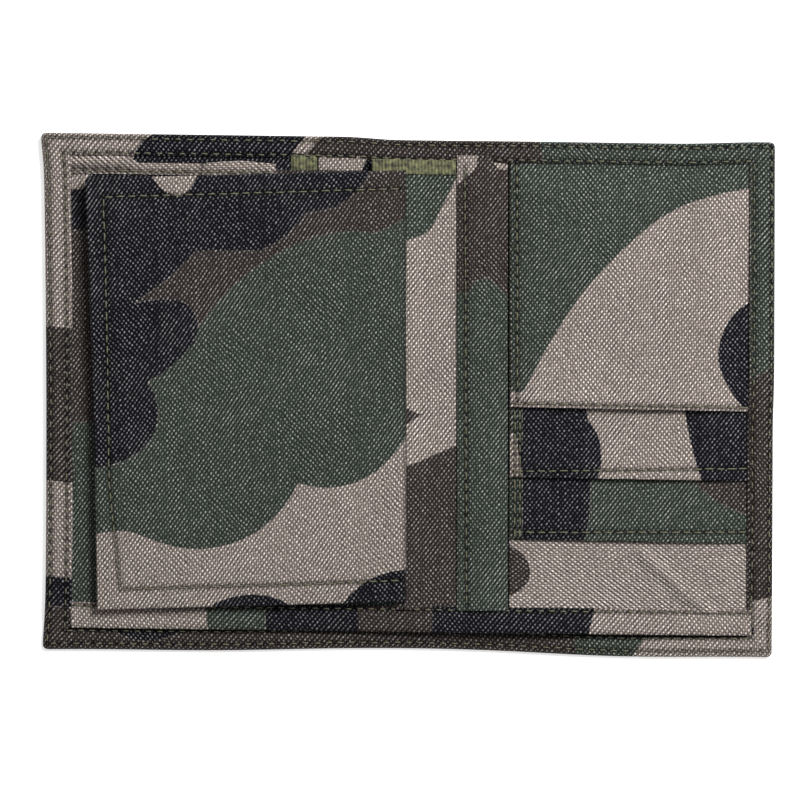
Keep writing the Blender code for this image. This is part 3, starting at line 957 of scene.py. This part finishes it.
def binding_ring(name, lie):
    """Turned-in edge of the cover as one closed ring, its corners mitred. On the right it is a
    little wider than its CAD solid and covers the pockets' ends. Its weave runs on round the
    outer edge."""
    over_pockets = 1.1
    widths = {(0, -1): HALF_WIDTH + INNER_LEFT, (0, 1): HALF_WIDTH - INNER_RIGHT + over_pockets,
              (1, 1): HALF_HEIGHT - INNER_TOP, (1, -1): HALF_HEIGHT + INNER_MOUTH}
    stations = list(around_cover(0.5))
    outward = np.array([np.add(before, after) / 2 for before, after, _ in stations])
    rings, unrolled = [], []
    for share, level, extra in BAND_SECTION:
        ring = []
        for before, after, t in stations:
            (ax, ay), (bx, by) = [
                (sx * (HALF_WIDTH - share * widths[0, sx]), sy * (HALF_HEIGHT - share * widths[1, sy]))
                for sx, sy in (before, after)]
            ring.append((ax + (bx - ax) * t, ay + (by - ay) * t))
        ring = np.array(ring)
        x, y = round_corners(ring[:, 0], ring[:, 1], HALF_WIDTH, HALF_HEIGHT, CORNER_RADIUS)
        z = level * edge_height(x, y) + extra
        if level > TOP_LEVEL:
            z = z + seam_dip(x, y, OUTER_SEAM, 0.2) + seam_dip(x, y, INNER_SEAM, 0.2)
        rings.append(np.stack([x, y, z], axis=-1))
        down_side = EDGE_DEPTH * (1 - level) if share < OUTER_SHARE else 0.0
        unrolled.append(np.stack([x, y], axis=-1) + outward * down_side)
    rings = np.array(rings)
    sections, around = rings.shape[:2]
    index = np.arange(sections * around).reshape(sections, around)
    inward = np.roll(index, -1, axis=0)
    faces = np.stack([index, inward, np.roll(inward, -1, axis=1), np.roll(index, -1, axis=1)], axis=-1)
    points = rings.reshape(-1, 3)
    x, y = points[:, 0], points[:, 1]
    # Painted shade in the grooves of both rows of stitches.
    pull = np.maximum(seam_shade(x, y, OUTER_SEAM), seam_shade(x, y, INNER_SEAM))
    across, along = np.array(unrolled).reshape(-1, 2).T
    place = yarn_place(across, along, BAND_SKEW, False, pull)
    lain_x, lain_y = lie(x, y)
    points = np.stack([lain_x, lain_y, points[:, 2]], axis=-1)
    fields = print_fields(lain_x, lain_y, PRINTS["binding"])
    return add_mesh(name, points, faces.reshape(-1, 4).tolist(), place, fields)


def stitches(name, line, height, lie, seed, seen=LONG_STITCH, bow_height=0.095, out=1):
    """Row of separate stitches along a line; each bows out of one hole and down into the next. seen
    is the thread's length between two holes. out is -1 for stitches on the cloth's underside."""
    random = np.random.default_rng(seed)
    rings, sides = 7, 7
    t = np.linspace(-1, 1, rings)
    girth = THREAD_RADIUS * np.sqrt(np.clip(1 - np.abs(t) ** 5, 0, 1)) + 0.012
    bow = bow_height - 0.42 * np.abs(t) ** 3.2
    angle = np.linspace(0, 2 * math.pi, sides, endpoint=False)
    around = np.broadcast_to(angle, (rings, sides))
    points, faces, weave = [], [], []
    for (ax, ay), (bx, by) in zip(line[:-1], line[1:]):
        run = math.hypot(bx - ax, by - ay)
        count = max(1, int(round(run / STITCH_PITCH)))
        pitch = run / count
        dx, dy = (bx - ax) / run, (by - ay) / run
        for k in range(count):
            centre = (k + 0.5) * pitch + random.uniform(-0.08, 0.08)
            aside = random.uniform(-0.07, 0.07)
            lean = random.uniform(-0.06, 0.06)
            length = seen * random.uniform(0.86, 1.04) * pitch / STITCH_PITCH
            s = centre + t * length / 2
            side = aside + lean * t
            px = ax + dx * s - dy * side
            py = ay + dy * s + dx * side
            pz = height(px, py) + out * bow
            ring_x = px[:, None] - dy * girth[:, None] * np.cos(angle)
            ring_y = py[:, None] + dx * girth[:, None] * np.cos(angle)
            ring_z = pz[:, None] + girth[:, None] * np.sin(angle)
            index = len(points) * rings * sides + np.arange(rings * sides).reshape(rings, sides)
            points.append(np.stack([ring_x, ring_y, ring_z], axis=-1).reshape(-1, 3))
            run_along = np.broadcast_to((t * length / 2)[:, None] + 10 * k, (rings, sides))
            weave.append(np.stack([run_along, around, around * 0], axis=-1).reshape(-1, 3))
            faces += tube_faces(index) + end_caps(index)
    points = np.concatenate(points)
    x, y = lie(points[:, 0], points[:, 1])
    points = np.stack([x, y, points[:, 2]], axis=-1)
    return add_mesh(name, points, faces, np.concatenate(weave))


# -------- pieces on their bodies

def finish_piece(piece, finish, replaced=(), body=None):
    """Material, and the CAD nodes that the piece stands for. A piece rides on its body. Without one, its
    placing is baked into its points."""
    material, slot = finish
    piece.data.materials.append(material)
    if replaced:
        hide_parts(*replaced)
    if body:
        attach(piece, body)
    else:
        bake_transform(piece)
    return piece


def sewn(name, shape, height, design, finish, replaced=(), body=None, **cut):
    return finish_piece(cloth(name, shape, height, design, **cut), finish, replaced, body)


def both(name):
    return [name.replace("SIDE", side) for side in ("left", "right")]


def build_cover(cloth_finish):
    """Outer cover and its turned-in edge."""
    edge = 0.25
    shape = rectangle(-HALF_WIDTH + edge, -HALF_HEIGHT + edge, HALF_WIDTH - edge, HALF_HEIGHT - edge)
    cover = sewn("cover", shape, cover_height, PRINTS["outside"], cloth_finish, both("cover_SIDE"),
                 lie=lie_as_cover, thickness=COVER_THICKNESS, step=COARSE_STEP, outside=True,
                 corner_radius=CORNER_RADIUS, seams=[OUTER_SEAM, INNER_SEAM])
    ring = binding_ring("cover_turned_edge", lie_as_cover)
    nodes = both("binding_SIDE_side") + both("binding_SIDE_top") + both("binding_SIDE_mouth")
    finish_piece(ring, cloth_finish, nodes)


def build_divider(cloth_finish, tape_finish):
    shape = rectangle(INNER_LEFT - TUCK, DIVIDER_LOW + 0.35, INNER_RIGHT + TUCK, INNER_TOP + TUCK)
    divider = sewn("divider", shape, divider_height, PRINTS["divider"], cloth_finish, both("divider_SIDE"))
    shape = rectangle(INNER_LEFT - 0.1, DIVIDER_LOW - 0.1, INNER_RIGHT + 0.1, HEM_HIGH)
    hem = sewn("divider_hem", shape, hem_height, PRINTS["hem"], cloth_finish, both("divider_hem_SIDE"),
               skew=BAND_SKEW, seams=[HEM_SEAM])
    [hem] + build_tab(cloth_finish, tape_finish)


def build_tab(cloth_finish, tape_finish):
    """Short tab and a loop of tape beside the spine tape, sewn under the turned-in edge."""

    def over_divider(x, y):
        return divider_height(x, y) + 0.5

    low, high = BAND_HIGH[1] - 0.9, INNER_TOP + 0.8
    tab_left, tab_right, slant = -24.5, -12.8, 1.9
    shape = [(tab_left, low), (tab_right, low), (tab_right + slant, high), (tab_left, high)]
    tab = sewn("divider_tab", shape, over_divider, PRINTS["tab"], cloth_finish, body="left_half")
    shape = rectangle(-32.0, low - 0.1, tab_left - 0.4, high)
    loop = sewn("divider_tape_loop", shape, over_divider, None, tape_finish, body="left_half",
                thickness=TAPE_THICKNESS)
    return [tab, loop]


def build_left_pocket(cloth_finish):
    shape = rectangle(INNER_LEFT - TUCK, PANEL_LOW, -0.6, BAND_LOW[1] + 1.5)
    pocket = sewn("left_pocket_cloth", shape, left_pocket_height, PRINTS["left_pocket"], cloth_finish,
                  ["left_pocket"], "left_half", step=COARSE_STEP, skew=LEAF_SKEW)
    shape = rectangle(INNER_LEFT - 0.2, BAND_LOW[1] - 0.3, BAND_HIGH[0], BAND_HIGH[1] + 0.5)
    band = sewn("left_pocket_fold", shape, left_band_height, PRINTS["left_band"], cloth_finish,
                ["left_pocket_band"], "left_half", lie=lie_as_band, woven_as_lain=True,
                skew=BAND_SKEW, turned=True, seams=[BAND_SEAM, BAND_NOTCH])


def build_spine(cloth_finish, tape_finish):
    low, high = PANEL_LOW, TAPE_LEFT[1] + 0.6
    shape = rectangle(-3.5, low, STRIP_LOW[0] + 0.6, high)
    flange = sewn("leaf_flange_cloth", shape, flange_height, PRINTS["flange"], cloth_finish,
                  ["leaf_flange"])
    hinge = build_leaf_hinge(cloth_finish, low, high)
    shape = rectangle(STRIP_LOW[0] - 0.8, low, STRIP_HIGH[0] - 0.2, INNER_TOP + TUCK)
    strip = sewn("spine_strip_cloth", shape, strip_height, PRINTS["strip"], cloth_finish,
                 ["spine_strip"], "right_half", seams=[SPINE_SEAM])

    def over_flange(x, y):
        return flange_height(x, y) + 0.45

    shape = rectangle(TAPE_LEFT[0], TAPE_LEFT[1] + 0.3, TAPE_RIGHT[0] + 1.0, INNER_TOP - 0.1)
    over = sewn("spine_tape", shape, over_flange, None, tape_finish, both("spine_tape_SIDE"),
                thickness=TAPE_THICKNESS)


def build_leaf_hinge(cloth_finish, low, high):
    """Gathered cloth between the flange and the leaf's rolled edge."""
    cut_height = 12.0
    bottom, top = 3.3, 4.3
    middle_x, half = -1.3, CLOTH_THICKNESS / 2
    rows = np.linspace(bottom, top, 15)
    section = [(middle_x + half, z) for z in rows] + [(middle_x - half, z) for z in rows[::-1]]
    places = np.linspace(low + 0.5, high - 2.0, 70)
    points = np.array([(x, y, z) for y in places for x, z in section])
    index = np.arange(len(points)).reshape(len(places), len(section))
    faces = tube_faces(index) + end_caps(index)
    up = (points[:, 2] - bottom) * cut_height / (top - bottom)
    place = np.stack([points[:, 1], up, 0 * up], axis=-1)
    fields = print_fields(points[:, 0] - up, points[:, 1], PRINTS["leaf"])
    piece = add_mesh("leaf_hinge_cloth", points, faces, place, fields)
    material, slot = cloth_finish
    piece.data.materials.append(material)
    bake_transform(piece)
    return piece


def build_card_pockets(cloth_finish):
    right, high = INNER_RIGHT + TUCK, INNER_TOP + TUCK
    shape = rectangle(POCKET_LEFT - 0.5, PANEL_LOW, right, high)
    backing = sewn("card_backing_cloth", shape, backing_height, PRINTS["backing"], cloth_finish,
                   ["card_backing"], "right_half", turned=True)
    left = POCKET_LEFT - 0.3
    for level, mouth in MOUTHS.items():
        rise_left, rise_right = MOUTH_RISE[level]
        shape = [(left, mouth + rise_left), (right, mouth + rise_right), (right, high), (left, high)]
        node = "card_pocket_" + level
        pocket = sewn(node + "_cloth", shape, pocket_height(level), PRINTS["pocket_" + level],
                      cloth_finish, [node], "right_half", seams=[POCKET_SEAMS[level]] + side_seams(level))


def side_seams(level):
    """Rows that hold the left side of a pocket: one on the front pocket, and on the others two close
    together, up to the mouth above."""
    if level == "front":
        return [[(POCKET_LEFT + 1.7, MOUTHS[level] + 2.6), (POCKET_LEFT + 1.5, INNER_TOP - 0.8)]]
    above = MOUTHS[POCKET_ORDER[POCKET_ORDER.index(level) + 1]]
    return [[(POCKET_LEFT + aside, MOUTHS[level] + 0.8), (POCKET_LEFT + aside, above + 0.5)]
            for aside in SIDE_SEAMS]


def build_leaf(cloth_finish, vinyl_finish):
    shape = [leaf_point(1, 0), leaf_point(0, 0), leaf_point(0, 1), leaf_point(1, 1)]

    # Painted shade along the leaf's rolled hinge edge, where the cloth turns down away from the light.
    def worn(x, y):
        return 0.5 * smooth((x - LEAF_HIGH[0] + 1.7) / 1.5)

    face = sewn("leaf_face_cloth", shape, leaf_height, PRINTS["leaf"], cloth_finish, ["leaf_face"],
                "leaf", lie=lie_as_leaf, thickness=1.1, skew=LEAF_SKEW, seams=[LEAF_SEAM], worn=worn)
    frame_strips = build_leaf_frame(cloth_finish)
    pane = build_leaf_window(vinyl_finish)


def build_leaf_frame(cloth_finish):
    """Cloth frame under the leaf, round the opening for its window."""
    rim_across, rim_up = 0.137, 0.077

    def frame_level(x, y):
        return LEAF_UNDER + 0.9 - 0.25 * near(leaf_inset(x, y), 0, 1.5)

    quads = {
        "leaf_frame_low": (0.01, 0.0, 1.0, rim_up),
        "leaf_frame_high": (0.01, 1 - rim_up, 1.0, 1.0),
        "leaf_frame_hinge": (0.01, rim_up, rim_across, 1 - rim_up),
        "leaf_frame_outer": (1 - rim_across, rim_up, 1.0, 1 - rim_up),
    }
    strips = []
    for node, (a, b, c, d) in quads.items():
        shape = [leaf_point(c, b), leaf_point(a, b), leaf_point(a, d), leaf_point(c, d)]
        strips.append(sewn(node + "_cloth", shape, frame_level, PRINTS["frame"], cloth_finish, [node],
                           "leaf", lie=lie_as_leaf, thickness=0.5))
    return strips


def build_leaf_window(vinyl_finish):
    """Clear window behind the opening of the frame."""
    side, end = 0.09, 0.05

    def pane_level(x, y):
        return LEAF_UNDER + 1.25 + waves(x, y, 51, 0.05, 30)

    shape = [leaf_point(1 - side, end), leaf_point(side, end), leaf_point(side, 1 - end),
             leaf_point(1 - side, 1 - end)]
    return sewn("leaf_window_pane", shape, pane_level, None, vinyl_finish, ["leaf_window"], "leaf",
                lie=lie_as_leaf, thickness=0.2, step=COARSE_STEP)


def build_seams(thread_finish):
    """Every row of stitches, each above the cloth it is sewn through."""

    def row(name, line, height, lie, seed, replaced=(), body=None, **sewing):
        piece = stitches("stitches_" + name, line, height, lie, seed, **sewing)
        finish_piece(piece, thread_finish, replaced, body)

    def on_edge(x, y):
        return edge_height(x, y) - 0.16

    def under_cover(x, y):
        return cover_height(x, y) - COVER_THICKNESS

    outer = both("stitching_SIDE_outer") + both("stitching_SIDE_mouth")
    row("outer", OUTER_SEAM, on_edge, lie_as_cover, 1, outer, seen=SHORT_STITCH)
    row("inner", INNER_SEAM, on_edge, lie_as_cover, 2, both("stitching_SIDE_inner"), seen=SHORT_STITCH)
    row("hem", HEM_SEAM, hem_height, lie_as_panel, 3, both("stitching_SIDE_hem"), seen=SHORT_STITCH)
    row("outside_outer", OUTER_SEAM, under_cover, lie_as_cover, 31, bow_height=-0.06, out=-1)
    row("outside_inner", INNER_SEAM, under_cover, lie_as_cover, 32, bow_height=-0.06, out=-1)
    row("left_band", BAND_SEAM, left_band_height, lie_as_panel, 4, ["stitching_left_band"], "left_half")
    row("spine", SPINE_SEAM, strip_height, lie_as_panel, 5, ["stitching_spine"], "right_half")
    row("leaf", LEAF_SEAM, leaf_height, lie_as_leaf, 6, ["stitching_leaf"], "leaf")
    for order, level in enumerate(POCKET_ORDER):
        height = pocket_height(level)
        row("pocket_" + level, POCKET_SEAMS[level], height, lie_as_panel, 7 + order,
            ["stitching_pocket_" + level], "right_half")
        for number, line in enumerate(side_seams(level)):
            replaced = [] if number or level == "front" else ["stitching_side_" + level]
            name = "side_" + level + ("_second" if number else "")
            row(name, line, height, lie_as_panel, 11 + 2 * order + number, replaced, "right_half")


# -------- stage

def build_stage():
    """Pale floor, one broad soft key from the upper right, and an even pale surrounding."""
    floor_size = 4.0
    mesh = bpy.data.meshes.new("floor")
    half = floor_size / 2
    drop = -0.0001
    mesh.from_pydata([(-half, -half, drop), (half, -half, drop), (half, half, drop), (-half, half, drop)],
                     [], [(0, 1, 2, 3)])
    mesh.materials.append(pale_floor())
    floor = bpy.data.objects.new("floor", mesh)
    bpy.context.scene.collection.objects.link(floor)

    light = bpy.data.lights.new("key", "AREA")
    light.shape = "DISK"
    light.size = 0.5
    light.energy = 19.0
    key = bpy.data.objects.new("key", light)
    key.location = (0.55, 0.6, 0.85)
    aim = -key.location
    key.rotation_euler = aim.to_track_quat("-Z", "Y").to_euler()
    bpy.context.scene.collection.objects.link(key)

    world = bpy.data.worlds.new("surrounding")
    world.use_nodes = True
    world.node_tree.nodes["Background"].inputs["Color"].default_value = (1, 1, 1, 1)
    world.node_tree.nodes["Background"].inputs["Strength"].default_value = 0.34
    bpy.context.scene.world = world
    bpy.context.scene.view_settings.view_transform = "Standard"


def build_camera():
    """Straight down, from far enough that the wallet shows almost no perspective."""
    distance = 1.1
    field = 0.2183
    camera = bpy.data.cameras.new("camera")
    camera.sensor_width = 36.0
    camera.lens = camera.sensor_width * distance / field
    view = bpy.data.objects.new("camera", camera)
    view.location = (-0.0023, -0.0014, distance)
    bpy.context.scene.collection.objects.link(view)
    bpy.context.scene.camera = view


build_camera()
build_stage()
camouflage = camouflage_cloth()
thread = sewing_thread()
tape = olive_tape()
build_cover(camouflage)
build_divider(camouflage, tape)
build_left_pocket(camouflage)
build_spine(camouflage, tape)
build_card_pockets(camouflage)
build_leaf(camouflage, clear_vinyl())
build_seams(thread)
